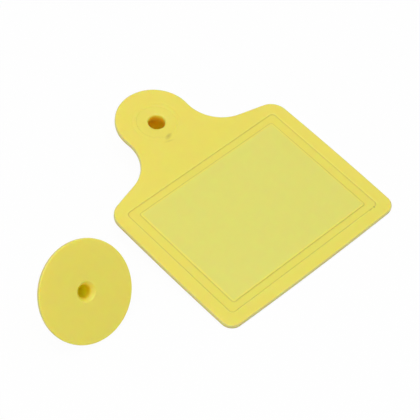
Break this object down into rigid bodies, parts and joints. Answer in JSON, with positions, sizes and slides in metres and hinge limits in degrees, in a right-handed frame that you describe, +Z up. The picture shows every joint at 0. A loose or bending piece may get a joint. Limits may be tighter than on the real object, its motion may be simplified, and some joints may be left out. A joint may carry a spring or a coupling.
{
  "type": "livestock ear tag",
  "caption": "Livestock ear tag in halves: a square-panelled flag with a closed snap boss under its round head, and a disc button with a hollow barbed stud, lying apart.",
  "frame": {"origin": "middle of the two halves' overall box, on the ground they lie on", "axes": "+Z up, +Y along the flag towards its head, +X across the flag away from the button"},
  "size_m": [0.1024, 0.0764, 0.0234],
  "materials": {
    "yellow_plastic": "satin flexible plastic",
    "brass_point": "plain turned"
  },
  "bodies": {
    "root": {"flag": "yellow_plastic", "button": "yellow_plastic", "stud_tip": "brass_point"}
  },
  "joints": []
}
